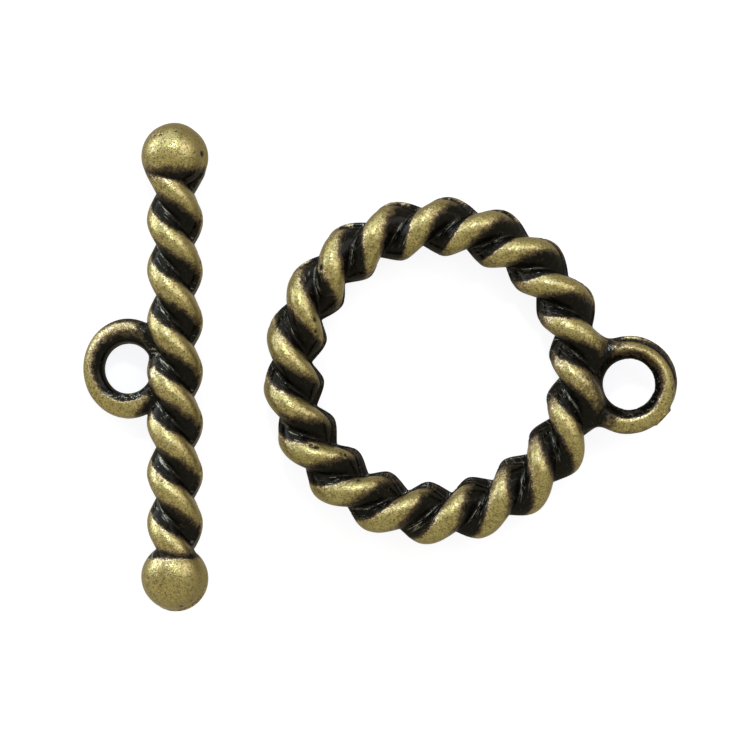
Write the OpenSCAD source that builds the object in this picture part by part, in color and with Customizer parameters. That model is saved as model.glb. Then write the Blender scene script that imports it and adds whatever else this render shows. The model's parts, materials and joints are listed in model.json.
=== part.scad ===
// Toggle clasp in two castings that lie side by side on a table.
// The ring half is a ring of two strands twisted like rope, with a wire eye on its outside.
// The bar half is a straight bar of such rope, with a ball on each end and an eye at its middle.
// Z is up, and the origin is on the table at the middle of the ground that the two halves cover.

/* [Ring] */
// Radius of the ring, from its centre to the middle of its rope
ring_r = 7.2; // [6.4:0.1:10]
// Thickness of each of the ring's two strands
ring_strand_d = 1.96; // [1.6:0.02:2.3]
// Distance from the middle of the ring's rope to the middle of each strand
ring_strand_out = 0.49; // [0.3:0.01:0.6]
// Full turns that each strand makes on its way round the ring
ring_turns = 9; // [6:1:12]

/* [Ring eye] */
// Diameter of the hole in the ring's eye
ring_eye_hole_d = 2.58; // [1.8:0.02:3.4]
// Thickness of the wire of the ring's eye
ring_eye_wire_d = 1.2; // [0.8:0.05:1.6]
// Width of the web that is left between the rope and the hole of the ring's eye
ring_eye_web = 0.19; // [0.1:0.01:0.6]

/* [Bar] */
// Length of the bar over its two balls
bar_l = 24.4; // [20:0.1:32]
// Diameter of the ball on each end of the bar
bar_ball_d = 3.35; // [2.8:0.05:4.2]
// Thickness of each of the bar's two strands
bar_strand_d = 1.85; // [1.4:0.05:2.1]
// Distance from the middle of the bar to the middle of each strand
bar_strand_out = 0.46; // [0.3:0.01:0.6]
// Length of bar in which each strand makes one full turn
bar_lay = 5.07; // [4:0.01:8]

/* [Bar eye] */
// Diameter of the hole in the bar's eye
bar_eye_hole_d = 2.3; // [1.8:0.02:3.4]
// Thickness of the wire of the bar's eye
bar_eye_wire_d = 1.2; // [0.8:0.05:1.6]
// How deep the hole of the bar's eye is reamed into the lobe of rope that swells towards it
bar_eye_ream = 0.12; // [0:0.01:0.25]
// How far the bar's eye lies from the middle of the bar's length
bar_eye_along = -0.08; // [-1:0.02:1]

/* [Both eyes] */
// Depth of the straight wall inside each eye, where the wire is flattened round its hole
eye_wall = 0.5; // [0.3:0.05:0.7]
// Thickness of the web that fills the corners between each eye and its rope
web_t = 0.9; // [0.6:0.05:1.2]
// Angle round each eye at which the web leaves the wire, from the side away from the rope
web_leaves = 100; // [90:1:125]
// Width of the web in the middle of the ring's rope
ring_web_w = 5.3; // [4:0.1:6.5]
// Width of the web in the middle of the bar's rope
bar_web_w = 4.8; // [4:0.1:6]

/* [Lying on the table] */
// Space between the ball of the bar and the rim of the ring
lie_gap = 2.68; // [1:0.01:10]
// How far the middle of the ring lies from the bar's middle, along the bar
lie_shift = -0.15; // [-2:0.05:2]
// Angle by which the ring half is turned on the table, in degrees
lie_turn = -4; // [-20:1:20]

/* [Hidden] */
brass = [0.62, 0.55, 0.31];
// Sections of rope in each full turn of the strands, and points round each section
turn_steps = 20;
round_steps = 20;
$fn = 40;

// Sizes of the ring half
ring_strand_r = ring_strand_d / 2;
ring_rope_out = ring_strand_out + ring_strand_r;
ring_out = ring_r + ring_rope_out;
ring_eye_r = ring_eye_hole_d / 2;
ring_eye_x = ring_r + ring_strand_r + ring_eye_web + ring_eye_r;
ring_eye_wire_at = wire_circle(ring_eye_r, ring_eye_wire_d);
ring_eye_out = ring_eye_wire_at + ring_eye_wire_d / 2;

// Sizes of the bar half
bar_strand_r = bar_strand_d / 2;
bar_rope_out = bar_strand_out + bar_strand_r;
bar_ball_r = bar_ball_d / 2;
bar_ball_at = bar_l / 2 - bar_ball_r;
bar_eye_r = bar_eye_hole_d / 2;
bar_eye_x = bar_rope_out + bar_eye_r - bar_eye_ream;
bar_eye_wire_at = wire_circle(bar_eye_r, bar_eye_wire_d);
bar_eye_reach = bar_eye_x + bar_eye_wire_at;

// The bar rolls on its balls until the far side of its eye touches the table
bar_roll = asin((bar_ball_r - bar_eye_wire_d / 2) / bar_eye_reach);

// Reach of the pair over the table, measured from the bar's axis and middle
ring_from_bar = bar_ball_r + lie_gap + ring_out;
reach_left = bar_eye_reach * cos(bar_roll) + bar_eye_wire_d / 2;
reach_right = ring_from_bar + max(ring_out, ring_eye_x * cos(lie_turn) + ring_eye_out);
reach_front = max(bar_l / 2, ring_out - lie_shift);
reach_back = max(bar_l / 2, ring_out + lie_shift);
bar_place = [(reach_left - reach_right) / 2, (reach_front - reach_back) / 2, bar_ball_r];
ring_place = [bar_place[0] + ring_from_bar, bar_place[1] + lie_shift, ring_rope_out];

// Radius of the circle that an eye's wire follows, so that its hole gets a wall of the named depth
function wire_circle(hole_r, wire_d) = hole_r + sqrt(pow(wire_d / 2, 2) - pow(eye_wall / 2, 2));

// Distance from the middle of the rope to its surface, at an angle from the line through both strands
function rope_surface(angle, strand_r, strand_out) =
    strand_out * abs(cos(angle)) + sqrt(pow(strand_r, 2) - pow(strand_out * sin(angle), 2));

// One section of rope as [across, up] points, with its strands turned by twist
function rope_section(twist, strand_r, strand_out) = [
    for (i = [0 : round_steps - 1])
        let (angle = 360 * i / round_steps, reach = rope_surface(angle, strand_r, strand_out))
            [reach * cos(twist + angle), reach * sin(twist + angle)]
];

// Number of a point of the skin, counted round a loop of sections where it is closed
function skin_point(step, i, steps) = (step % steps) * round_steps + i % round_steps;

// Triangles between neighbouring sections
function skin_sides(steps, spans) = [
    for (step = [0 : spans - 1], i = [0 : round_steps - 1], half = [0, 1])
        half == 0
            ? [skin_point(step, i, steps), skin_point(step + 1, i + 1, steps), skin_point(step + 1, i, steps)]
            : [skin_point(step, i, steps), skin_point(step, i + 1, steps), skin_point(step + 1, i + 1, steps)]
];

// Two strands twisted round each other in a closed ring, its middle at the origin
module rope_ring() {
    steps = ring_turns * turn_steps;
    points = [
        for (step = [0 : steps - 1])
            let (along = 360 * step / steps)
                for (p = rope_section(90 + ring_turns * along, ring_strand_r, ring_strand_out))
                    [(ring_r + p[0]) * cos(along), (ring_r + p[0]) * sin(along), p[1]]
    ];
    polyhedron(points = points, faces = skin_sides(steps, steps));
}

// Two strands twisted round each other along Y, level with each other at the middle
module rope_bar() {
    steps = 2 * ceil(bar_ball_at / bar_lay * turn_steps);
    points = [
        for (step = [0 : steps])
            let (along = bar_ball_at * (2 * step / steps - 1))
                for (p = rope_section(360 * along / bar_lay, bar_strand_r, bar_strand_out))
                    [p[0], along, p[1]]
    ];
    first_end = [for (i = [0 : round_steps - 1]) round_steps - 1 - i];
    last_end = [for (i = [0 : round_steps - 1]) skin_point(steps, i, steps + 1)];
    polyhedron(points = points, faces = concat(skin_sides(steps + 1, steps), [first_end, last_end]));
}

// Round wire eye, and the web that joins it to the rope behind it
module eye(wire_at, wire_d, web) {
    rotate_extrude()
        translate([wire_at, 0])
            circle(d = wire_d);
    linear_extrude(height = web_t, center = true)
        polygon(web);
}

// What is cut away inside an eye, through all the metal there
module eye_hole(hole_r, wire_d) {
    cylinder(h = 2 * wire_d, r = hole_r, center = true);
}

// Outline of the web behind an eye: it spreads from the sides of the wire to the middle of the rope
function web_outline(wire_at, back, root_w) = [
    [wire_at * cos(web_leaves), -wire_at * sin(web_leaves)],
    [wire_at * cos(web_leaves), wire_at * sin(web_leaves)],
    [-back, root_w / 2],
    [-back, -root_w / 2]
];

// Where the ring's eye lies: on the +X side of the ring, halfway up the rope
module at_ring_eye() {
    translate([ring_eye_x, 0])
        children();
}

// Where the bar's eye lies: on the -X side of the bar, close to the middle of its length
module at_bar_eye() {
    translate([-bar_eye_x, bar_eye_along])
        rotate([0, 0, 180])
            children();
}

// The wire and web of the ring's eye
module ring_eye() {
    back = ring_eye_x - sqrt(pow(ring_r + ring_strand_out, 2) - pow(ring_web_w / 2, 2));
    eye(ring_eye_wire_at, ring_eye_wire_d, web_outline(ring_eye_wire_at, back, ring_web_w));
}

// The wire and web of the bar's eye
module bar_eye() {
    eye(bar_eye_wire_at, bar_eye_wire_d, web_outline(bar_eye_wire_at, bar_eye_x, bar_web_w));
}

// Plain ball on one end of the bar, on its +Y or -Y side
module bar_ball(side) {
    translate([0, side * bar_ball_at, 0])
        sphere(r = bar_ball_r);
}

// The ring half, lying flat on the lower lobes of its rope
module toggle_ring() {
    color(brass)
        translate(ring_place)
            rotate([0, 0, lie_turn])
                difference() {
                    union() {
                        rope_ring();
                        at_ring_eye()
                            ring_eye();
                    }
                    at_ring_eye()
                        eye_hole(ring_eye_r, ring_eye_wire_d);
                }
}

// The bar half, lying on its two balls and on the far side of its eye
module toggle_bar() {
    color(brass)
        translate(bar_place)
            rotate([0, -bar_roll, 0])
                difference() {
                    union() {
                        rope_bar();
                        for (side = [-1, 1])
                            bar_ball(side);
                        at_bar_eye()
                            bar_eye();
                    }
                    at_bar_eye()
                        eye_hole(bar_eye_r, bar_eye_wire_d);
                }
}

toggle_ring();
toggle_bar();
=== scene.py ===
import json
import math

import bpy
import numpy as np
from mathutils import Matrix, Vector


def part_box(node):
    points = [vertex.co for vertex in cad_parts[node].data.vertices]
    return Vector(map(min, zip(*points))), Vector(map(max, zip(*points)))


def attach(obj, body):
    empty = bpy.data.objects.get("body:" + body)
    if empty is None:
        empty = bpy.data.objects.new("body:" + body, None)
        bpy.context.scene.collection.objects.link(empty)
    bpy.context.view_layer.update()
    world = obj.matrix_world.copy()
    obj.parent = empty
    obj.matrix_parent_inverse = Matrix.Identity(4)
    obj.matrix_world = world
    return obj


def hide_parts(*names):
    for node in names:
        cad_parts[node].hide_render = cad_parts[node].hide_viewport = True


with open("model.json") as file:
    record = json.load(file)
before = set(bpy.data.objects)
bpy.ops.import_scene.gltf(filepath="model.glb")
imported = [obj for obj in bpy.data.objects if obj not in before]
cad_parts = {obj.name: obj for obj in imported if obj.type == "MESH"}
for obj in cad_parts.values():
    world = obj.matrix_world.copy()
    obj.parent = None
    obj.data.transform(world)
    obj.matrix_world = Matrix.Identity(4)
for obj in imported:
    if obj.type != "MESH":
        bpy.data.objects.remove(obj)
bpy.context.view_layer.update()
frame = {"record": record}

# Lengths here are millimetres in the row's frame, and become metres where a mesh, light or camera is made
MM = 0.001

# What the frame says of the two castings
MOUNTS = {m["name"]: m for m in frame["record"]["mounts"]}
ring_low, ring_high = (np.array(c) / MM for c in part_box("toggle_ring"))
bar_low, bar_high = (np.array(c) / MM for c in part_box("toggle_bar"))
ring_eye_place = np.array(MOUNTS["ring_eye"]["pos_m"]) / MM
bar_eye_place = np.array(MOUNTS["bar_eye"]["pos_m"]) / MM
bar_eye_axis = np.array(MOUNTS["bar_eye"]["axis"])

# Half the height over which one half of the mould gives way to the other
PARTING = 0.03

# Fillet in the groove between the two strands of a rope
GROOVE_FILLET = 0.07

# How much thicker an eye's wire is at its two sides along Y, as a share
EYE_SWELL = 0.07

# Rounding inside a splayed hole
HOLE_EDGE_R = 0.10

# The least distances from an eye's middle, as a share of its radius and in millimetres, that are divided by
LEAST_SHARE = 0.2
LEAST_AWAY = 0.1

# Spread of the wavelengths in a relief about the named one, and what brings its peaks to about 1
WAVE_SPREAD = (0.7, 1.4)
WAVE_PEAK = 1.4

# Depth of a casting pit and how far it reaches, as shares of its radius
PIT_DEPTH = 0.6
PIT_REACH = 4

# A height above both castings from which pits are dropped onto them, and the steps that each drop takes
ABOVE_CASTINGS = 2
PIT_DROPS = 40


def polar(length, degrees):
    """A vector of the given length and direction in the plane."""
    return length * math.cos(math.radians(degrees)), length * math.sin(math.radians(degrees))


def smooth_step(x):
    """0 below 0, 1 above 1, and a smooth rise between."""
    t = np.clip(x, 0, 1)
    return t * t * (3 - 2 * t)


def smooth_min(a, b, fillet):
    """The smaller of two distances, with a fillet where they are nearly equal."""
    t = np.clip(0.5 + 0.5 * (b - a) / fillet, 0, 1)
    return b + (a - b) * t - fillet * t * (1 - t)


def waves(places, length, seed, count=9):
    """Smooth irregular relief from about -1 to 1, a sum of plane waves of about the given length."""
    rng = np.random.default_rng(seed)
    ways = rng.normal(size=(count, 3))
    ways /= np.linalg.norm(ways, axis=1)[:, None]
    ways *= 2 * math.pi / (length * rng.uniform(*WAVE_SPREAD, size=(count, 1)))
    phases = rng.uniform(0, 2 * math.pi, count)
    return np.sin(places @ ways.T + phases).sum(axis=1) / math.sqrt(count) / WAVE_PEAK


def relief(places, layers):
    """Smooth irregular relief in layers, each with its height, wavelength and seed."""
    return sum(height * waves(places, length, seed) for height, length, seed in layers)


def strand_section(u, v, at_u, at_v, radius, side):
    """Distance to a strand's round section, whose sides go straight down to the parting plane."""
    rise = v - at_v
    below = (side * at_v > 0) & (side * rise < 0)
    return np.hypot(u - at_u, np.where(below, 0, rise)) - radius


def rope_section(u, v, twist, radius, out, side):
    """Distance to two twisted strands."""
    at_u, at_v = out * np.cos(twist), out * np.sin(twist)
    one = strand_section(u, v, at_u, at_v, radius, side)
    other = strand_section(u, v, -at_u, -at_v, radius, side)
    return smooth_min(one, other, GROOVE_FILLET)


def eye_distance(x, y, z, half_x, half_y, wire, tall):
    """Distance to a slightly oval wire eye about the origin, its wire tall times as high as wide."""
    q = np.hypot(x / half_x, y / half_y)
    thick = wire * (1 + EYE_SWELL * (y / half_y) ** 2 / np.maximum(q, LEAST_SHARE) ** 2)
    return np.hypot((q - 1) * math.sqrt(half_x * half_y), z / tall) - thick


def web_distance(x, y, z, corners, half_t, rounding):
    """Distance to a plate with rounded edges, whose outline is a convex polygon turning left."""
    flat = np.full(x.shape, -np.inf)
    for (ax, ay), (bx, by) in zip(corners, corners[1:] + corners[:1]):
        length = math.hypot(bx - ax, by - ay)
        flat = np.maximum(flat, ((x - ax) * (by - ay) - (y - ay) * (bx - ax)) / length)
    over, up = flat + rounding, np.abs(z) - half_t + rounding
    return np.hypot(np.maximum(over, 0), np.maximum(up, 0)) + np.minimum(np.maximum(over, up), 0) - rounding


def stub_distance(x, y, z, facing, radius, half_t, end):
    """Distance to the ground-off stub of a casting gate that runs out from the origin."""
    along = x * facing[0] + y * facing[1]
    across = x * facing[1] - y * facing[0]
    return np.maximum((np.hypot(across / radius, z / half_t) - 1) * radius, np.maximum(along - end, -along))


def hole_distance(x, y, z, half_x, half_y, splay):
    """Distance into a slightly oval hole about the origin that widens away from the parting plane."""
    radius = math.sqrt(half_x * half_y)
    widened = splay * (np.hypot(z, HOLE_EDGE_R) - HOLE_EDGE_R)
    return (radius * (1 - np.hypot(x / half_x, y / half_y)) + widened) / math.hypot(1, splay)


def halves(shape, places):
    """A casting from the shapes of its two mould halves, which needn't match."""
    upper = smooth_step(0.5 + places[:, 2] / (2 * PARTING))
    above, below = upper > 0, upper < 1
    result = np.zeros(len(places))
    result[above] += upper[above] * shape(places[above], 1)
    result[below] += (1 - upper[below]) * shape(places[below], -1)
    return result


def by_half(shape, points):
    """A mould half's shape at each point, from the half that the point is in."""
    return np.where(points[:, 2] >= 0, shape(points, 1), shape(points, -1))


def pits_on(half_shape, pits):
    """The pits as places on a casting's upper side and radii."""
    places = np.array([(x, y, ABOVE_CASTINGS) for x, y, _ in pits], float)
    for _ in range(PIT_DROPS):
        places[:, 2] -= half_shape(places, 1)
    return [(place, pit[2]) for place, pit in zip(places, pits)]


def pit_depth(points, pits):
    """How deep the casting pits are at each point."""
    depth = np.zeros(len(points))
    for place, radius in pits:
        near = np.abs(points - place).sum(axis=1) < PIT_REACH * radius
        away = np.linalg.norm(points[near] - place, axis=1) / radius
        depth[near] += PIT_DEPTH * radius * np.exp(-(away**2))
    return depth


# The ring half in its own frame: its middle is the origin, and its eye lies on +X
RING_OUTER_R = 8.67
RING_TURNS = 9
ring_middle = (ring_low + ring_high) / 2
ring_centre = np.array([ring_low[0] + RING_OUTER_R, ring_middle[1], ring_middle[2]])
to_ring_eye = ring_eye_place - ring_centre
ring_turn = math.atan2(to_ring_eye[1], to_ring_eye[0])
RING_EYE_X = math.hypot(to_ring_eye[0], to_ring_eye[1])

# Its upper mould half, 1, and its lower, -1
RING_HALVES = {
    1: {"shift": (-0.04, -0.10), "ring_r": 7.22, "strand_r": 0.91, "strand_out": 0.51, "tall": 1.00,
        "eye_shift": (-0.02, -0.20)},
    -1: {"shift": (0.01, 0.065), "ring_r": 7.15, "strand_r": 0.98, "strand_out": 0.50, "tall": 0.98,
         "eye_shift": (0.08, 0.065)},
}
RING_EYE = {"half_x": 1.85, "half_y": 1.79, "wire": 0.512, "tall": 1.11}
RING_EYE_HOLE = {"half_x": 1.285, "half_y": 1.255, "splay": 0.98}
RING_EYE_HOLE_SHIFT = (0.033, -0.034)
RING_WEB = {
    "corners": [(-2.4, -2.62), (-0.95, -2.12), (-0.2, -1.7), (-0.2, 1.7), (-0.95, 2.1), (-2.4, 2.62)],
    "half_t": 0.45, "rounding": 0.3,
}
RING_STUB = {"facing": polar(1, -40), "radius": 0.55, "half_t": 0.42, "end": 2.475}
RING_FILLETS = {"stub": 0.12, "web": 0.25, "hole": 0.06, "rope": 0.18}

# Layers of relief on it: height, wavelength and seed
RING_RELIEF = {
    "rope": [(0.013, 2.2, 3), (0.005, 0.9, 5)], "wire": [(0.008, 0.9, 7)], "hole": [(0.004, 1.0, 23)],
}

# Places in the plane and radii of the casting pits that show on the ring half's upper side
RING_PITS = [
    (-6.12, 4.69, 0.14), (-5.93, -4.19, 0.12), (-5.72, -4.25, 0.12), (-4.96, -4.17, 0.09),
    (-4.42, -4.50, 0.08), (-4.23, -4.56, 0.08), (-3.50, -5.75, 0.09), (-6.15, 1.48, 0.08),
    (-6.23, 2.07, 0.08), (11.83, 0.38, 0.05), (11.88, 0.05, 0.07), (11.84, -0.11, 0.05),
    (11.89, -0.42, 0.05),
]

# The bar half in its own frame: its middle is the origin, its length is Y, and its eye lies on -X
BAR_R = 1.675
BALL_R = 1.655
BAR_HALF = 12.17
BAR_LAY = 5.07
bar_centre = np.array([bar_high[0] - BAR_R, (bar_low[1] + bar_high[1]) / 2, BAR_R])
bar_roll = math.atan2(-bar_eye_axis[0], bar_eye_axis[2])
BAR_EYE_X = math.hypot(bar_eye_place[0] - bar_centre[0], bar_eye_place[2] - bar_centre[2])
BAR_EYE_Y = bar_eye_place[1]
BALL_AT = BAR_HALF - BALL_R

# Its upper mould half, 1, and its lower, -1
BAR_HALVES = {
    1: {"shift": (-0.02, 0.03), "strand_r": 0.905, "strand_out": 0.465, "eye_shift": (0, 0.02)},
    -1: {"shift": (0.03, -0.05), "strand_r": 0.915, "strand_out": 0.475, "eye_shift": (0, -0.02)},
}
BAR_EYE = {"half_x": 1.80, "half_y": 1.87, "wire": 0.565, "tall": 1.0}
BAR_FILLETS = {"ball": 0.05, "eye": 0.2}

# How far the strands spread where they run onto the upper ball, from where, and over what length
NECK_FLARE = 0.12
NECK_FROM = 8.9
NECK_LENGTH = 1.0

# The flat on the lower ball: the way it faces, and its distance from the ball's middle
BALL_FLAT = (-0.727, -0.687)
BALL_FLAT_AT = 1.58

# Layers of relief on it: height, wavelength and seed
BAR_RELIEF = {
    "rope": [(0.012, 2.0, 11), (0.005, 0.9, 13)], "ball": [(0.006, 1.4, 17)], "eye": [(0.006, 1.1, 19)],
}

# Places in the plane and radii of the casting pits that show on the bar half's upper side
BAR_PITS = [
    (1.57, 10.62, 0.13), (-0.70, 11.54, 0.05), (-0.39, 11.57, 0.05), (0.38, 11.74, 0.05),
    (0.34, -12.00, 0.06), (0.50, -11.95, 0.09), (1.02, -11.66, 0.05),
]


def shifted(places, shift):
    """Each place's x, y and z from a middle that lies off the origin in the plane."""
    return places[:, 0] - shift[0], places[:, 1] - shift[1], places[:, 2]


def ring_rope(places, side):
    """Distance to the ring's rope in one mould half."""
    half = RING_HALVES[side]
    x, y, z = shifted(places, half["shift"])
    twist = math.pi / 2 + RING_TURNS * np.arctan2(y, x)
    across, up = np.hypot(x, y) - half["ring_r"], z / half["tall"]
    return rope_section(across, up, twist, half["strand_r"], half["strand_out"], side)


def ring_eye(places, side):
    """Distance to the wire of the ring's eye in one mould half."""
    shift = RING_HALVES[side]["eye_shift"]
    return eye_distance(*shifted(places, (RING_EYE_X + shift[0], shift[1])), **RING_EYE)


def ring_half(places, side):
    """Distance to one mould half's share of the ring casting."""
    x, y, z = shifted(places, (RING_EYE_X, 0))
    rope = ring_rope(places, side) + relief(places, RING_RELIEF["rope"])
    web = web_distance(x, y, z, **RING_WEB)
    stub = stub_distance(x, y, z, **RING_STUB)
    wire = ring_eye(places, side) + relief(places, RING_RELIEF["wire"])
    hole_x, hole_y = x - RING_EYE_HOLE_SHIFT[0], y - RING_EYE_HOLE_SHIFT[1]
    hole = hole_distance(hole_x, hole_y, z, **RING_EYE_HOLE) + relief(places, RING_RELIEF["hole"])
    eye = smooth_min(smooth_min(wire, stub, RING_FILLETS["stub"]), web, RING_FILLETS["web"])
    eye = -smooth_min(-eye, -hole, RING_FILLETS["hole"])
    return smooth_min(rope, eye, RING_FILLETS["rope"])


def bar_rope(places, side):
    """Distance to the bar's rope in one mould half, which flares where it runs onto the upper ball."""
    half = BAR_HALVES[side]
    x, y, z = shifted(places, half["shift"])
    out = half["strand_out"] + NECK_FLARE * smooth_step((y - NECK_FROM) / NECK_LENGTH)
    rope = rope_section(x, z, 2 * math.pi * y / BAR_LAY, half["strand_r"], out, side)
    return np.maximum(rope, np.abs(y) - BALL_AT)


def bar_balls(places, side):
    """Distance to the bar's balls in one mould half, the lower one ground flat where its gate was."""
    x, y, z = shifted(places, BAR_HALVES[side]["shift"])
    balls = np.sqrt(x * x + (np.abs(y) - BALL_AT) ** 2 + z * z) - BALL_R
    flat = x * BALL_FLAT[0] + (y + BALL_AT) * BALL_FLAT[1] - BALL_FLAT_AT
    return np.maximum(balls, np.where(y < 0, flat, -1))


def bar_eye(places, side):
    """Distance to the wire of the bar's eye in one mould half."""
    shift = BAR_HALVES[side]["eye_shift"]
    return eye_distance(*shifted(places, (shift[0] - BAR_EYE_X, shift[1] + BAR_EYE_Y)), **BAR_EYE)


def bar_half(places, side):
    """Distance to one mould half's share of the bar casting."""
    rope = bar_rope(places, side) + relief(places, BAR_RELIEF["rope"])
    balls = bar_balls(places, side) + relief(places, BAR_RELIEF["ball"])
    eye = bar_eye(places, side) + relief(places, BAR_RELIEF["eye"])
    return smooth_min(smooth_min(rope, balls, BAR_FILLETS["ball"]), eye, BAR_FILLETS["eye"])


ring_pits = pits_on(ring_half, RING_PITS)
bar_pits = pits_on(bar_half, BAR_PITS)


def ring_distance(places):
    """Distance to the ring casting, with its pits."""
    return halves(ring_half, places) + pit_depth(places, ring_pits)


def bar_distance(places):
    """Distance to the bar casting, with its pits."""
    return halves(bar_half, places) + pit_depth(places, bar_pits)


# The grids that the two meshes are made on
RING_GRID = {"low": (-9.1, -9.1, -1.75), "high": (12.6, 9.1, 1.75), "step": 0.084}
BAR_GRID = {"low": (-5.2, -12.6, -1.95), "high": (2.1, 12.6, 1.95), "step": 0.076}
CELL_CORNERS = 8


def surface_net(distance, low, high, step):
    """Points and quads where the distance is zero, one point in each grid cell that the surface crosses."""
    low, high = np.array(low), np.array(high)
    counts = np.ceil((high - low) / step).astype(int) + 1
    axes = [low[i] + step * np.arange(counts[i]) for i in range(3)]
    grid = np.stack(np.meshgrid(*axes, indexing="ij"), axis=-1)
    field = distance(grid.reshape(-1, 3)).reshape(counts)
    inside = field < 0
    corners = sum(
        inside[i : counts[0] - 1 + i, j : counts[1] - 1 + j, k : counts[2] - 1 + k].astype(np.int8)
        for i in (0, 1) for j in (0, 1) for k in (0, 1)
    )
    crossed = (corners > 0) & (corners < CELL_CORNERS)
    cells = np.argwhere(crossed)
    number = np.full(crossed.shape, -1)
    number[crossed] = np.arange(len(cells))
    return low + step * crossing_means(field, cells), surface_quads(inside, number)


def sides_of(axis):
    """The two other axes' unit steps, in turning order."""
    units = np.eye(3, dtype=int)
    return units[(axis + 1) % 3], units[(axis + 2) % 3]


def crossing_means(field, cells):
    """In each cell, the mean of the places where the surface crosses the cell's edges, in grid steps."""
    total, hits = np.zeros((len(cells), 3)), np.zeros(len(cells))
    for axis, unit in enumerate(np.eye(3, dtype=int)):
        side, over = sides_of(axis)
        for start in (0 * side, side, over, side + over):
            first, second = cells + start, cells + start + unit
            a, b = field[tuple(first.T)], field[tuple(second.T)]
            cut = (a < 0) != (b < 0)
            total[cut] += first[cut] + np.outer(a[cut] / (a[cut] - b[cut]), unit)
            hits[cut] += 1
    return total / hits[:, None]


def surface_quads(inside, number):
    """A quad of the four cells round each grid edge that the surface crosses, facing outwards."""
    quads = []
    for axis in range(3):
        side, over = sides_of(axis)
        length = inside.shape[axis]
        first = inside.take(range(length - 1), axis=axis)
        second = inside.take(range(1, length), axis=axis)
        edges = np.argwhere(first != second)
        outward = first[tuple(edges.T)]
        around = [number[tuple((edges - away).T)] for away in (side + over, over, 0 * side, side)]
        loop = np.stack(around, axis=1)
        quads.append(np.where(outward[:, None], loop, loop[:, ::-1]))
    return np.concatenate(quads)


def slope_of(distance, points, reach=0.01):
    """Gradient of the distance at the points."""
    rises = [distance(points + way) - distance(points - way) for way in reach * np.eye(3)]
    return np.stack(rises, axis=1) / (2 * reach)


def settle(distance, points, quads, rounds=3, pulls=2, evening=0.6, far=0.05):
    """Evens the points out among their neighbours and brings them back onto the surface."""
    corners = quads.reshape(-1)
    shares = np.bincount(corners, minlength=len(points))
    for _ in range(rounds):
        centres = np.repeat(points[quads].mean(axis=1), 4, axis=0)
        sums = [np.bincount(corners, centres[:, i], len(points)) for i in range(3)]
        even = np.stack([total / shares for total in sums], axis=1)
        points = (1 - evening) * points + evening * even
        for _ in range(pulls):
            slope = slope_of(distance, points)
            move = (distance(points) / (slope**2).sum(axis=1))[:, None] * slope
            points = points - np.clip(move, -far, far)
    return points, slope_of(distance, points)


# Wear is kept at each point of a casting: 1 and over is bright metal, -1 and under full patina, and it stays
# within this number either way
MOST_WORN = 3

# Direction in the plane, in degrees, from which the light falls: the bare bands are painted further out and
# crisper on the side of each strand that faces it, and shorter with a softer darkening on the side away from
# it, painted light and shade
LIGHT_FROM = 100

# Angle between a strand's crest and the length of its rope, in degrees
STRAND_LIE = 45

# Degrees before and after a strand's crest that are bare, how many fewer are before it on the inner side of
# the rope, and how far round from the rope's outer side any are
RING_WORN = {"before": 37, "after": 42.5, "inward": 14, "inner_end": 160}
BAR_WORN = {"before": 42.5, "after": 39, "inward": 0, "inner_end": 220}

# What facing the light, and lying on the outer side of the rope, add to those degrees; what facing the light
# adds is painted light and shade
BAND_LIT = {"before": 8, "after": -8.5}
BAND_OUTWARD = {"before": 15, "after": -8}

# Degrees over which bare metal gives way to patina, what facing the light adds to them, a crisp edge towards
# the light and a soft darkening away from it, painted light and shade, and the same where the bare metal ends
# on the inner side
BAND_FADE = 5.5
FADE_LIT = {"before": -3, "after": 2.5}
INNER_FADE = 10

# Where the groove between two strands starts, in degrees from their crests, and over how many it deepens
CREASE_FROM = 66
CREASE_OVER = 20
CREASE_END = 0.8

# Scale of the texture that is drawn out along the strands, round them and along them
GRAIN_ROUND = 0.6
GRAIN_ALONG = 0.28

# From where to where round its wire the bar's eye is bare, in degrees from straight out, the degrees over
# which each end fades, and what is added to these towards the upper end of the bar; the inner end's share
# paints the inner wall of the eye's lower side, which faces the light, bare and crisp, and that of its upper
# side darker, painted light and shade
BAR_EYE_BARE = {"to": 92, "to_fade": 8, "from": -20, "from_fade": 7}
BAR_EYE_UPWARD = {"to": -14, "to_fade": 6, "from": 60}

# Radii between which the ring's eye is bare, how sharply each fades, and what is added to the inner one where
# the eye's inner edge faces down the picture, away from the light: a softer edge there and a crisp one where
# it faces the light, painted light and shade
RING_EYE_BARE = {"from": 1.76, "from_fade": 0.03, "to": 2.50, "to_fade": 0.08}
RING_EYE_DOWNWARD = {"from": -0.08, "from_fade": 0.10}

# Patina left where the eyes meet the ropes: its reach on each of the two, and how sharply it fades
RING_CORNER = {"rope": (0.45, 0.25), "eye": (0.7, 0.2)}
BAR_CORNER = {"rope": (0.3, 0.12), "eye": (0.6, 0.12)}

# Where the bare metal of the upper ball starts and that of the lower ball ends, along the bar from the ball's
# middle, and how sharply
BALL_BARE = {"upper": (-0.62, 0.12), "lower": (0.97, 0.05)}

# Patina left on the strands near the balls: from where along the bar, its reach, and how sharply it fades
NECK_DARK_FROM = 7
NECK_DARK = {"upper": 0.10, "lower": 0.20}
NECK_FADE = 0.06

# Width of the patina left along the step between the mould halves, and how uneven it is
SEAM_WIDTH = {"ring_rope": 0.13, "ring_eye": 0.17, "bar": 0.13}
SEAM_UNEVEN = [(0.4, 1.3, 29)]

# The step that holds all of that width, how sharply the patina fades, the most it counts for in the wear, and
# what the wear gains where there is no step
SEAM_STEP = 0.15
SEAM_FADE = 0.04
SEAM_MOST = 4
NO_SEAM = 6

# Patina in a casting pit and bare metal round it, out to these shares of its radius, and how they are worn
PIT_DARK = 1.2
PIT_RIM = 2.2
PIT_RIM_WORN = 1.2
PIT_FADE = 0.03

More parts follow.
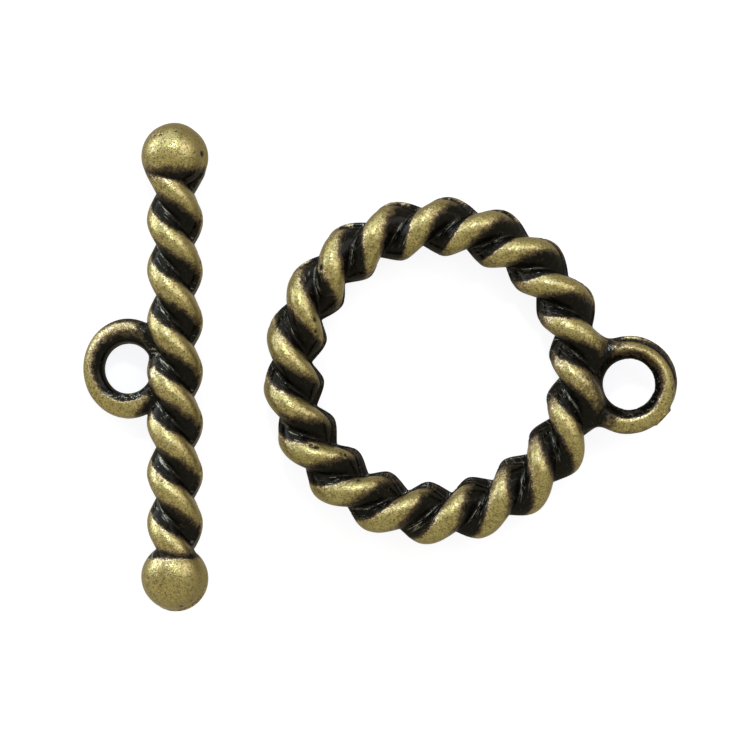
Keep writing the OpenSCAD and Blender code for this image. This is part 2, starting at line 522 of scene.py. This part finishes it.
# Direction from the castings halfway between the view and the left and upper lights, and how squarely it is
# faced: painted highlights and glints are put where the surface faces it
HIGHLIGHT_NORMAL = (-0.55, 0.40, 0.73)
HIGHLIGHT_FACING_START = 0.62
HIGHLIGHT_FACING_RISE = 0.3


def beyond(value, start, fade):
    """How far a value is past the start, in fades."""
    return (value - start) / fade


def lean_from_crest(around, twist):
    """Signed angle from the nearer strand's crest, in degrees, from -90 to 90."""
    return np.degrees((around - twist + math.pi / 2) % math.pi) - 90


def rope_wear(u, v, twist, heading, before, after, inward, inner_end):
    """How bare each point of a rope is rubbed, with the bare band painted further out and crisper where it
    faces the light and darker away from it, painted light and shade.
    """
    around = np.arctan2(v, u)
    lean = lean_from_crest(around, twist)
    upper = np.where(v >= 0, 1, -1)
    outward = np.cos(around) * upper
    # How squarely each side of a strand faces the light in the plane, for painted light and shade
    facing_light = np.cos(np.radians(heading + 90 - STRAND_LIE * upper - LIGHT_FROM))
    widened = np.where(outward > 0, BAND_OUTWARD["before"], inward) * outward
    low = before + BAND_LIT["before"] * facing_light + widened
    high = after + BAND_LIT["after"] * facing_light + BAND_OUTWARD["after"] * outward
    past_low = (lean + low) / (BAND_FADE + FADE_LIT["before"] * facing_light)
    short_of_high = (high - lean) / (BAND_FADE + FADE_LIT["after"] * facing_light)
    inner = (inner_end - np.degrees(np.abs(around))) / INNER_FADE
    return np.minimum(np.minimum(past_low, short_of_high), inner)


def crease(u, v, twist):
    """1 in the groove between two strands and 0 away from it."""
    return smooth_step(beyond(np.abs(lean_from_crest(np.arctan2(v, u), twist)), CREASE_FROM, CREASE_OVER))


def grain(u, v, twist, along):
    """Places for a texture that is drawn out along the strands."""
    turn = 2 * np.radians(lean_from_crest(np.arctan2(v, u), twist))
    return np.stack([GRAIN_ROUND * np.cos(turn), GRAIN_ROUND * np.sin(turn), GRAIN_ALONG * along], axis=1)


def bar_eye_wear(x, y, z):
    """How bare each point of the bar's eye is rubbed: its outer flank and top are, its inner wall isn't."""
    bare, up = BAR_EYE_BARE, BAR_EYE_UPWARD
    away = np.hypot(x, y)
    around = np.degrees(np.arctan2(np.abs(z), away - BAR_EYE["half_x"]))
    upward = y / np.maximum(away, LEAST_AWAY)
    # The inner end reaches further round and ends crisper where the inner wall faces the light: painted light
    # and shade
    inner = (bare["to"] + up["to"] * upward - around) / (bare["to_fade"] + up["to_fade"] * upward)
    outer = beyond(around, bare["from"] + up["from"] * np.maximum(upward, 0), bare["from_fade"])
    return np.minimum(inner, outer)


def ring_eye_wear(x, y):
    """How bare each point of the ring's eye is rubbed, crispest where its inner edge faces up the picture,
    towards the light: painted light and shade.
    """
    bare, down = RING_EYE_BARE, RING_EYE_DOWNWARD
    away = np.hypot(x, y)
    downward = 0.5 + 0.5 * y / np.maximum(away, LEAST_AWAY)
    start = bare["from"] + down["from"] * downward
    fade = bare["from_fade"] + down["from_fade"] * downward
    return np.minimum(beyond(away, start, fade), (bare["to"] - away) / bare["to_fade"])


def seam_wear(points, half_shape, wide):
    """Wear that is low in the corner where the upper mould half steps back from the lower, or else high."""
    level = points.copy()
    level[:, 2] = 2 * PARTING
    upper = half_shape(level, 1)
    level[:, 2] = -2 * PARTING
    shelf = np.clip((upper - half_shape(level, -1)) / SEAM_STEP, 0, 1)
    away = np.hypot(np.maximum(upper, 0), points[:, 2])
    band = wide * (1 + relief(points, SEAM_UNEVEN))
    worn = np.clip(beyond(away, band * shelf, SEAM_FADE), -SEAM_MOST, SEAM_MOST)
    return worn + NO_SEAM * (1 - shelf)


def pit_wear(points, pits, worn):
    """The wear with patina left in the casting pits and bare metal round them."""
    for place, radius in pits:
        away = np.linalg.norm(points - place, axis=1)
        worn = np.where(away < PIT_RIM * radius, np.maximum(worn, PIT_RIM_WORN), worn)
        worn = np.minimum(worn, beyond(away, PIT_DARK * radius, PIT_FADE))
    return worn


def ring_section(points):
    """Each point's place across the ring's rope, out and up, and how far the strands have twisted there."""
    x, y, z = points.T
    return np.hypot(x, y) - RING_HALVES[1]["ring_r"], z, math.pi / 2 + RING_TURNS * np.arctan2(y, x)


def bar_section(points):
    """Each point's place across the bar's rope, and how far the strands have twisted there."""
    x, y, z = points.T
    return x, z, 2 * math.pi * y / BAR_LAY


def ring_wear(points):
    """How bare each point of the ring half is rubbed."""
    x, y, _ = points.T
    rope, eye = by_half(ring_rope, points), by_half(ring_eye, points)
    heading = np.degrees(np.arctan2(y, x) + ring_turn)
    worn_rope = rope_wear(*ring_section(points), heading, **RING_WORN)
    worn_eye = ring_eye_wear(x - RING_EYE_X, y)
    corner = np.where(rope < eye, beyond(eye, *RING_CORNER["rope"]), beyond(rope, *RING_CORNER["eye"]))
    worn = np.minimum(np.where(rope < eye, worn_rope, worn_eye), corner)
    seam = seam_wear(points, ring_half, np.where(rope < eye, SEAM_WIDTH["ring_rope"], SEAM_WIDTH["ring_eye"]))
    return pit_wear(points, ring_pits, np.minimum(worn, seam))


def ring_crease(points):
    """Where the ring half's grooves are."""
    return crease(*ring_section(points)) * (by_half(ring_rope, points) < by_half(ring_eye, points))


def ring_grain(points):
    """Places for a texture along the ring half's strands."""
    along = RING_HALVES[1]["ring_r"] * np.abs(np.arctan2(points[:, 1], points[:, 0]))
    on_rope = by_half(ring_rope, points) < by_half(ring_eye, points)
    return np.where(on_rope[:, None], grain(*ring_section(points), along), points)


def bar_wear(points):
    """How bare each point of the bar half is rubbed."""
    x, y, z = points.T
    rope, balls, eye = (by_half(shape, points) for shape in (bar_rope, bar_balls, bar_eye))
    worn_rope = rope_wear(*bar_section(points), 0, **BAR_WORN)
    worn_eye = bar_eye_wear(x + BAR_EYE_X, y - BAR_EYE_Y, z)
    upper_from, upper_fade = BALL_BARE["upper"]
    lower_to, lower_fade = BALL_BARE["lower"]
    worn_upper_ball = beyond(y - BALL_AT, upper_from, upper_fade)
    worn_ball = np.where(y > 0, worn_upper_ball, (lower_to - BALL_AT - y) / lower_fade)
    near = np.argmin([rope, eye, balls], axis=0)
    worn = np.choose(near, [worn_rope, worn_eye, worn_ball])
    on_eye = eye < np.minimum(rope, balls)
    corner = np.where(on_eye, beyond(rope, *BAR_CORNER["eye"]), beyond(eye, *BAR_CORNER["rope"]))
    neck_reach = np.where(y > 0, NECK_DARK["upper"], NECK_DARK["lower"])
    by_ball = (near == 0) & (np.abs(y) > NECK_DARK_FROM)
    neck = np.where(by_ball, beyond(balls, neck_reach, NECK_FADE), MOST_WORN)
    seam = seam_wear(points, bar_half, SEAM_WIDTH["bar"])
    return pit_wear(points, bar_pits, np.minimum(np.minimum(worn, corner), np.minimum(neck, seam)))


def bar_crease(points):
    """Where the bar half's grooves are."""
    return crease(*bar_section(points)) * (np.abs(points[:, 1]) < BALL_AT - CREASE_END)


def bar_grain(points):
    """Places for a texture along the bar half's strands."""
    on_rope = by_half(bar_rope, points) < by_half(bar_eye, points)
    return np.where(on_rope[:, None], grain(*bar_section(points), points[:, 1]), points)


def quad_mesh(name, places, quads):
    """A smooth mesh from places in millimetres and the four corners of each face."""
    mesh = bpy.data.meshes.new(name)
    mesh.vertices.add(len(places))
    mesh.vertices.foreach_set("co", (places * MM).ravel())
    mesh.loops.add(quads.size)
    mesh.loops.foreach_set("vertex_index", quads.ravel())
    mesh.polygons.add(len(quads))
    mesh.polygons.foreach_set("loop_start", np.arange(0, quads.size, 4))
    mesh.update(calc_edges=True)
    mesh.validate()
    mesh.shade_smooth()
    return mesh


def casting(name, node, distance, wear, grooves, drawn_out, grid, turn, centre):
    """One casting as a single closed mesh, with what its finish needs kept at each point."""
    points, quads = surface_net(distance, **grid)
    points, slopes = settle(distance, points, quads)
    normals = slopes / np.linalg.norm(slopes, axis=1)[:, None]
    mesh = quad_mesh(name, points @ turn.T + centre, quads)
    faced = normals @ turn.T @ np.array(HIGHLIGHT_NORMAL)
    numbers = {
        # flank is how far each point's surface turns sideways, which the finish uses for painted shade
        "bare": np.clip(wear(points), -MOST_WORN, MOST_WORN), "flank": 1 - np.abs(normals[:, 2]),
        # How squarely each point faces the lights' reflection, which places the painted highlights and glints
        "crease": grooves(points), "highlight_facing": smooth_step(beyond(faced, HIGHLIGHT_FACING_START, HIGHLIGHT_FACING_RISE)),
    }
    for key, values in numbers.items():
        mesh.attributes.new(key, "FLOAT", "POINT").data.foreach_set("value", values)
    for key, values in (("own_place", points), ("grain_place", drawn_out(points))):
        mesh.attributes.new(key, "FLOAT_VECTOR", "POINT").data.foreach_set("vector", values.ravel())
    piece = bpy.data.objects.new(name, mesh)
    bpy.context.collection.objects.link(piece)
    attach(piece, "root")
    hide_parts(node)
    print(name, len(points), "points", 2 * len(quads), "triangles")
    return piece


def turned(axis, angle):
    """Matrix that turns by the angle about Y or Z."""
    c, s = math.cos(angle), math.sin(angle)
    turns = {"Z": [[c, -s, 0], [s, c, 0], [0, 0, 1]], "Y": [[c, 0, s], [0, 1, 0], [-s, 0, c]]}
    return np.array(turns[axis])


# Sockets of a Mix node by what it mixes: the share, the two values, and the result
MIX_SOCKETS = {"RGBA": (0, 6, 7, 2), "FLOAT": (0, 2, 3, 0)}


class Nodes:
    """Short ways to add nodes to a material and join them up."""

    def __init__(self, material):
        material.use_nodes = True
        self.tree = material.node_tree
        self.tree.nodes.clear()

    def add(self, kind, **settings):
        node = self.tree.nodes.new(kind)
        for key, value in settings.items():
            setattr(node, key, value)
        return node

    def join(self, value, socket):
        """Gives a socket its value, which is another node's output or a constant."""
        if isinstance(value, bpy.types.NodeSocket):
            self.tree.links.new(value, socket)
        else:
            socket.default_value = value

    def join_all(self, node, **values):
        """Gives a node's inputs their values, by the inputs' names with _ for each space."""
        for key, value in values.items():
            self.join(value, node.inputs[key.replace("_", " ")])
        return node

    def attribute(self, name, output):
        return self.add("ShaderNodeAttribute", attribute_name=name).outputs[output]

    def math(self, operation, *values):
        node = self.add("ShaderNodeMath", operation=operation)
        for value, socket in zip(values, node.inputs):
            self.join(value, socket)
        return node.outputs[0]

    def rise(self, value, start, end):
        """0 at start and 1 at end, with a smooth rise between."""
        node = self.add("ShaderNodeMapRange", interpolation_type="SMOOTHSTEP")
        return self.join_all(node, Value=value, From_Min=start, From_Max=end).outputs["Result"]

    def noise(self, place, scale, detail, roughness):
        node = self.add("ShaderNodeTexNoise")
        self.join_all(node, Vector=place, Scale=scale, Detail=detail, Roughness=roughness)
        return node.outputs["Fac"]

    def spots(self, place, scale):
        """Distance to the nearest of some scattered points."""
        return self.join_all(self.add("ShaderNodeTexVoronoi"), Vector=place, Scale=scale).outputs["Distance"]

    def mix(self, share, first, second, kind="RGBA"):
        """The first value where the share is 0 and the second where it is 1."""
        node = self.add("ShaderNodeMix", data_type=kind)
        *sockets, result = MIX_SOCKETS[kind]
        for value, socket in zip((share, first, second), sockets):
            self.join(value, node.inputs[socket])
        return node.outputs[result]

    def surface(self, shader):
        """Makes a shader the material's surface."""
        self.join_all(self.add("ShaderNodeOutputMaterial"), Surface=shader.outputs["BSDF"])


# Colours of the finish
GOLD = (0.66, 0.575, 0.27, 1)
GOLD_GREEN = (0.59, 0.56, 0.265, 1)
GOLD_MIDDLE = (0.42, 0.355, 0.155, 1)
GOLD_SPECK = (0.22, 0.17, 0.08, 1)
# Darker gold where the surface turns sideways: painted shade
GOLD_SHADED_SIDE = (0.37, 0.31, 0.15, 1)
# Pale colour on the edges of the bare metal that face the lights: a painted highlight
PAINTED_EDGE_HIGHLIGHT = (1.0, 0.82, 0.68, 1)
STAIN = (0.17, 0.125, 0.07, 1)
BROWN = (0.080, 0.058, 0.036, 1)
PATINA = (0.0016, 0.0016, 0.0015, 1)
PATINA_WARM = (0.007, 0.0065, 0.0055, 1)
# Grey metal in streaks along the grooves where they face the lights: painted glints
PAINTED_GLINT = (0.42, 0.43, 0.42, 1)

# Scale in features per millimetre, detail and roughness of each noise in the finish and of the streaks along
# the strands, and the scale of the spots
NOISES = {
    "fine": (5.5, 3.0, 0.6), "grit": (11.0, 2.0, 0.6), "patches": (2.2, 2.0, 0.5), "cloud": (1.6, 3.0, 0.6),
    "stain": (9.0, 3.0, 0.7), "sparkle": (13.0, 1.0, 0.5), "patina": (4.0, 3.0, 0.5),
}
STREAKS = (8.0, 3.0, 0.7)
SPOTS = 2.2

# What each noise adds to how far the metal is bared, and how fast wear bares it
RAGGED = {"fine": 4.0, "grit": 2.5, "patches": 4.0}
RAGGED_MEAN = sum(RAGGED.values()) / 2
BARED_BY_WEAR = 0.25
BARED_AT_NONE = 0.5

# Where each part of the finish starts to show, and where it shows in full, on the scale of what governs it
SHOWS = {
    "green": (0.35, 0.65), "middle": (0.45, 0.62), "side": (0.15, 0.70), "speck": (0.50, 0.68),
    "spot": (0.11, 0.06), "stain": (0.47, 0.56), "stained": (1.40, 0.70), "edge_highlight": (0.40, 0.52),
    "edge_end": (1.15, 0.90), "sparkle": (0.48, 0.56), "warm": (0.45, 0.70), "brown": (-0.10, 0.40),
    "painted_glint": (0.60, 0.68), "gold": (0.36, 0.78), "metal": (0.30, 0.60),
}
# Strength of the stain, of the painted edge highlight, and of what the grooves add to the painted glints
STAIN_STRENGTH = 0.9
EDGE_HIGHLIGHT_STRENGTH = 0.9
CREASE_PAINTED_GLINT = 0.09

# Gloss of the finish
PATINA_ROUGHNESS = 0.4
METAL_ROUGHNESS = (0.24, 0.42)
PATINA_IOR = 1.08
LACQUER = 0.35
LACQUER_ROUGHNESS = 0.06

# Relief of the finish: its unit in millimetres, what its parts count for in it, and how strongly the metal
# and the lacquer follow it
RELIEF_UNIT = 0.04
FINISH_RELIEF = {"gold": 0.4, "grit_to_fine": 1.2, "cast_streaks": 2.6, "bared_step": 0.8}
METAL_BUMP = 0.7
LACQUER_BUMP = 0.10


def uneven(n, height, strength):
    """A surface normal from relief."""
    bump = n.add("ShaderNodeBump")
    bump.inputs["Strength"].default_value = strength
    bump.inputs["Distance"].default_value = RELIEF_UNIT * MM
    return n.join_all(bump, Height=height).outputs["Normal"]


def bared_share(n, noise):
    """How far the metal is bared, with ragged edges."""
    ragged = n.math("MULTIPLY", noise["patches"], RAGGED["patches"])
    for name in ("grit", "fine"):
        ragged = n.math("MULTIPLY_ADD", noise[name], RAGGED[name], ragged)
    bare = n.math("ADD", n.attribute("bare", "Fac"), n.math("SUBTRACT", ragged, RAGGED_MEAN))
    return n.math("MULTIPLY_ADD", bare, BARED_BY_WEAR, BARED_AT_NONE)


def gold_colour(n, noise, spots, bared, highlight_facing):
    """Mottled gold, stained towards the patina, darkened on its flanks as painted shade, with a painted
    highlight on the edges of the bare metal that face the lights.
    """
    gold = n.mix(n.rise(noise["cloud"], *SHOWS["green"]), GOLD, GOLD_GREEN)
    gold = n.mix(n.rise(noise["fine"], *SHOWS["middle"]), gold, GOLD_MIDDLE)
    # Gold darkened on the flanks, where the surface turns sideways: painted shade
    gold = n.mix(n.rise(n.attribute("flank", "Fac"), *SHOWS["side"]), gold, GOLD_SHADED_SIDE)
    gold = n.mix(n.rise(noise["grit"], *SHOWS["speck"]), gold, GOLD_SPECK)
    gold = n.mix(n.rise(spots, *SHOWS["spot"]), gold, BROWN)
    stain = n.math("MULTIPLY", n.rise(bared, *SHOWS["stained"]), n.rise(noise["stain"], *SHOWS["stain"]))
    gold = n.mix(n.math("MULTIPLY", stain, STAIN_STRENGTH), gold, STAIN)
    # A painted highlight along the edges of the bare metal that face the lights
    edge_highlight = n.math("MULTIPLY", n.rise(bared, *SHOWS["edge_highlight"]), n.rise(bared, *SHOWS["edge_end"]))
    edge_highlight = n.math("MULTIPLY", n.math("MULTIPLY", edge_highlight, n.rise(noise["sparkle"], *SHOWS["sparkle"])), highlight_facing)
    return n.mix(n.math("MULTIPLY", edge_highlight, EDGE_HIGHLIGHT_STRENGTH), gold, PAINTED_EDGE_HIGHLIGHT)


def patina_colour(n, noise, bared, painted_glint):
    """Near-black patina, brown towards the metal, with painted glints of grey metal in the grooves where they
    face the lights.
    """
    patina = n.mix(n.rise(noise["patina"], *SHOWS["warm"]), PATINA, PATINA_WARM)
    return n.mix(painted_glint, n.mix(n.rise(bared, *SHOWS["brown"]), patina, BROWN), PAINTED_GLINT)


def antique_brass():
    """Olive-gold metal rubbed bright on the high parts, with near-black patina left in the low ones."""
    material = bpy.data.materials.new("antique_brass")
    n = Nodes(material)
    place = n.attribute("own_place", "Vector")
    noise = {name: n.noise(place, *columns) for name, columns in NOISES.items()}
    streaks = n.noise(n.attribute("grain_place", "Vector"), *STREAKS)
    # Where the surface faces the lights' reflection, for the painted highlights and glints
    highlight_facing = n.attribute("highlight_facing", "Fac")
    bared = bared_share(n, noise)

    # Painted glints on the patina, in streaks along the grooves, only where they face the lights
    painted_glint = n.math("MULTIPLY_ADD", n.attribute("crease", "Fac"), CREASE_PAINTED_GLINT, streaks)
    painted_glint = n.math("MULTIPLY", n.rise(painted_glint, *SHOWS["painted_glint"]), highlight_facing)

    # Colour, metal and gloss
    gold = gold_colour(n, noise, n.spots(place, SPOTS), bared, highlight_facing)
    colour = n.mix(n.rise(bared, *SHOWS["gold"]), patina_colour(n, noise, bared, painted_glint), gold)
    metal = n.math("MAXIMUM", n.rise(bared, *SHOWS["metal"]), painted_glint)
    metal_rough = n.mix(noise["grit"], *METAL_ROUGHNESS, kind="FLOAT")
    rough = n.mix(metal, PATINA_ROUGHNESS, metal_rough, kind="FLOAT")

    # Relief of the brushed gold, of the patina as cast, and of the step between them
    on_gold = n.math("MULTIPLY_ADD", noise["grit"], FINISH_RELIEF["grit_to_fine"], noise["fine"])
    on_gold = n.math("MULTIPLY", on_gold, FINISH_RELIEF["gold"])
    on_patina = n.math("MULTIPLY", streaks, FINISH_RELIEF["cast_streaks"])
    height = n.mix(metal, on_patina, on_gold, kind="FLOAT")
    height = n.math("MULTIPLY_ADD", metal, FINISH_RELIEF["bared_step"], height)

    shader = n.add("ShaderNodeBsdfPrincipled")
    shader.inputs["IOR"].default_value = PATINA_IOR
    shader.inputs["Coat Weight"].default_value = LACQUER
    shader.inputs["Coat Roughness"].default_value = LACQUER_ROUGHNESS
    n.join_all(shader, Base_Color=colour, Metallic=metal, Roughness=rough)
    n.join_all(shader, Normal=uneven(n, height, METAL_BUMP), Coat_Normal=uneven(n, height, LACQUER_BUMP))
    n.surface(shader)
    return material


CASTINGS = {
    "ring_casting": {
        "node": "toggle_ring", "distance": ring_distance, "wear": ring_wear, "grooves": ring_crease,
        "drawn_out": ring_grain, "grid": RING_GRID, "turn": turned("Z", ring_turn), "centre": ring_centre,
    },
    "bar_casting": {
        "node": "toggle_bar", "distance": bar_distance, "wear": bar_wear, "grooves": bar_crease,
        "drawn_out": bar_grain, "grid": BAR_GRID, "turn": turned("Y", -bar_roll), "centre": bar_centre,
    },
}


def make_castings():
    brass = antique_brass()
    for name, makings in CASTINGS.items():
        casting(name, **makings).data.materials.append(brass)


# The pale table, which glows a little so that it comes out nearly white
TABLE_SIZE = 900
TABLE_COLOUR = (0.40, 0.40, 0.42, 1)
TABLE_ROUGHNESS = 0.6
TABLE_GLOW = (0.82, 0.83, 0.87, 1)
TABLE_GLOW_STRENGTH = 1.0

# The soft lights: the way from the object to each, its distance and size, its power and its colour
LIGHTS = [
    {"name": "left_panel", "towards": (-0.88, 0.46, 0.05), "distance": 260, "size": (150, 150),
     "watts": 0.165, "colour": (0.90, 1.0, 1.04)},
    {"name": "upper_panel", "towards": (-0.40, 0.85, 0.33), "distance": 300, "size": (320, 280),
     "watts": 0.20, "colour": (0.91, 1.0, 1.0)},
    {"name": "top_lamp", "towards": (-0.09, 0.64, 0.77), "distance": 300, "size": (30, 30),
     "watts": 0.15, "colour": (0.88, 1.0, 1.0)},
    {"name": "right_panel", "towards": (0.55, 0.48, 0.68), "distance": 300, "size": (220, 220),
     "watts": 0.19, "colour": (1.0, 0.95, 0.98)},
]
STUDIO_COLOUR = (1, 0.91, 0.63, 1)
STUDIO_STRENGTH = 0.51

# The camera looks straight down on a square of this width, at the castings' mid-height
FRAME_WIDTH = 37.66
VIEW_MIDDLE = (-0.26, -0.4)
CAMERA_HEIGHT = 350
SENSOR_WIDTH = 36
CLIP_METRES = (0.01, 5)


def make_table():
    half = TABLE_SIZE / 2 * MM
    mesh = bpy.data.meshes.new("table")
    corners = [(-half, -half, 0), (half, -half, 0), (half, half, 0), (-half, half, 0)]
    mesh.from_pydata(corners, [], [(0, 1, 2, 3)])
    table = bpy.data.objects.new("table", mesh)
    bpy.context.collection.objects.link(table)
    material = bpy.data.materials.new("table")
    n = Nodes(material)
    shader = n.add("ShaderNodeBsdfPrincipled")
    shader.inputs["Base Color"].default_value = TABLE_COLOUR
    shader.inputs["Roughness"].default_value = TABLE_ROUGHNESS
    shader.inputs["Emission Color"].default_value = TABLE_GLOW
    shader.inputs["Emission Strength"].default_value = TABLE_GLOW_STRENGTH
    n.surface(shader)
    mesh.materials.append(material)
    table.visible_glossy = False


def make_light(name, towards, distance, size, watts, colour):
    """A soft rectangular light in the given direction from the object, facing it."""
    data = bpy.data.lights.new(name, "AREA")
    data.shape = "RECTANGLE"
    data.size, data.size_y = size[0] * MM, size[1] * MM
    data.energy = watts
    data.color = colour
    light = bpy.data.objects.new(name, data)
    way = Vector(towards).normalized()
    light.location = way * distance * MM
    light.rotation_euler = way.to_track_quat("Z", "Y").to_euler()
    light.visible_camera = False
    bpy.context.collection.objects.link(light)


def make_studio():
    for light in LIGHTS:
        make_light(**light)
    world = bpy.data.worlds.new("studio")
    world.use_nodes = True
    background = world.node_tree.nodes["Background"]
    background.inputs["Color"].default_value = STUDIO_COLOUR
    background.inputs["Strength"].default_value = STUDIO_STRENGTH
    bpy.context.scene.world = world


def make_camera():
    data = bpy.data.cameras.new("camera")
    data.sensor_width = SENSOR_WIDTH
    data.lens = SENSOR_WIDTH * CAMERA_HEIGHT / FRAME_WIDTH
    data.clip_start, data.clip_end = CLIP_METRES
    camera = bpy.data.objects.new("camera", data)
    camera.location = (VIEW_MIDDLE[0] * MM, VIEW_MIDDLE[1] * MM, CAMERA_HEIGHT * MM)
    bpy.context.collection.objects.link(camera)
    bpy.context.scene.camera = camera
    bpy.context.scene.view_settings.view_transform = "Standard"


make_camera()
make_castings()
make_table()
make_studio()

bpy.context.view_layer.update()
